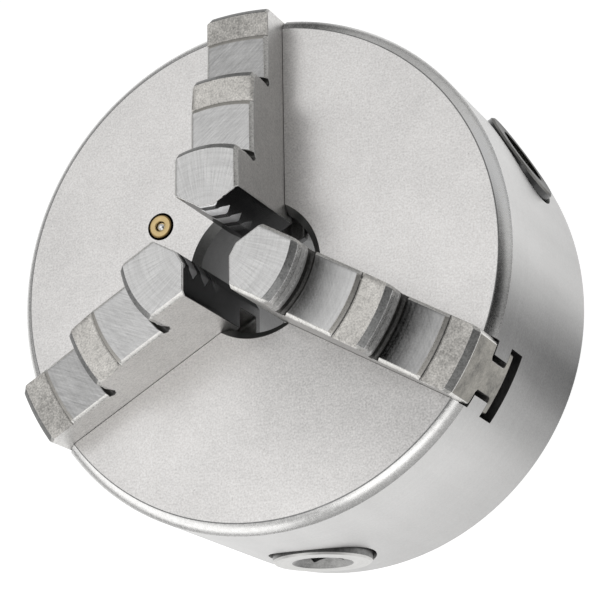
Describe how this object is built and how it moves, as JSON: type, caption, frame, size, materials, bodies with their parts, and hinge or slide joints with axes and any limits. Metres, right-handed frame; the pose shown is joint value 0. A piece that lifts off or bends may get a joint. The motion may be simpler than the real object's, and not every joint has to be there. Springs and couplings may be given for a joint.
{
  "type": "lathe chuck",
  "caption": "Round self-centring lathe chuck: stepped jaws slide in radial T-slots, moved together by an inner scroll plate and bevel pinions with square wrench sockets.",
  "frame": {"origin": "centre of the back face, on the spindle axis", "axes": "+Z along the spindle axis from the back face towards the jaws; jaw 1 points along +Y"},
  "size_m": [0.125, 0.1258, 0.084],
  "materials": {
    "body_iron": "finely ground",
    "cover_iron": "turned",
    "jaw_steel": "hardened and ground, rough between the lands",
    "gear_steel": "machined and oiled",
    "screw_steel": "black oxide",
    "oiler_brass": "turned",
    "ball_steel": "polished",
    "spring_steel": "drawn wire"
  },
  "bodies": {
    "chuck_body": {"body": "body_iron", "back_cover": "cover_iron", "cover_screw_1": "screw_steel", "cover_screw_2": "screw_steel", "cover_screw_3": "screw_steel", "cover_screw_4": "screw_steel", "cover_screw_5": "screw_steel", "cover_screw_6": "screw_steel", "pinion_retaining_screw_1": "screw_steel", "pinion_retaining_screw_2": "screw_steel", "pinion_retaining_screw_3": "screw_steel", "oiler_body": "oiler_brass", "oiler_spring": "spring_steel"},
    "scroll": {"scroll_plate": "gear_steel"},
    "jaw_1": {"jaw_1": "jaw_steel"},
    "jaw_2": {"jaw_2": "jaw_steel"},
    "jaw_3": {"jaw_3": "jaw_steel"},
    "pinion_1": {"pinion_1": "gear_steel"},
    "pinion_2": {"pinion_2": "gear_steel"},
    "pinion_3": {"pinion_3": "gear_steel"},
    "oiler_ball": {"oiler_ball": "ball_steel"}
  },
  "joints": [
    {"name": "scroll_spin", "type": "hinge", "parent": "chuck_body", "child": "scroll", "pos_m": [0, 0, 0.0395], "axis": [0, 0, 1], "range_deg": [-750, 372]},
    {"name": "pinion_1_spin", "type": "hinge", "parent": "chuck_body", "child": "pinion_1", "pos_m": [0, -0.054, 0.0205], "axis": [0, -1, 0], "range_deg": [-1488, 3000]},
    {"name": "pinion_2_spin", "type": "hinge", "parent": "chuck_body", "child": "pinion_2", "pos_m": [0.04677, 0.027, 0.0205], "axis": [0.866, 0.5, 0], "range_deg": [-1488, 3000]},
    {"name": "pinion_3_spin", "type": "hinge", "parent": "chuck_body", "child": "pinion_3", "pos_m": [-0.04677, 0.027, 0.0205], "axis": [-0.866, 0.5, 0], "range_deg": [-1488, 3000]},
    {"name": "jaw_1_slide", "type": "slide", "parent": "chuck_body", "child": "jaw_1", "axis": [0, 1, 0], "range_m": [-0.0062, 0.0125]},
    {"name": "jaw_2_slide", "type": "slide", "parent": "chuck_body", "child": "jaw_2", "axis": [-0.866, -0.5, 0], "range_m": [-0.0062, 0.0125]},
    {"name": "jaw_3_slide", "type": "slide", "parent": "chuck_body", "child": "jaw_3", "axis": [0.866, -0.5, 0], "range_m": [-0.0062, 0.0125]},
    {"name": "oiler_ball_press", "type": "slide", "parent": "chuck_body", "child": "oiler_ball", "axis": [0, 0, -1], "range_m": [0, 0.001], "stiffness_N_per_m": 60, "deforming": ["oiler_spring"]}
  ],
  "couplings": [
    {"joint": "pinion_1_spin", "follows": "scroll_spin", "ratio": -4},
    {"joint": "pinion_2_spin", "follows": "scroll_spin", "ratio": -4},
    {"joint": "pinion_3_spin", "follows": "scroll_spin", "ratio": -4},
    {"joint": "jaw_1_slide", "follows": "scroll_spin", "m_per_rad": -0.00095493},
    {"joint": "jaw_2_slide", "follows": "scroll_spin", "m_per_rad": -0.00095493},
    {"joint": "jaw_3_slide", "follows": "scroll_spin", "m_per_rad": -0.00095493}
  ]
}
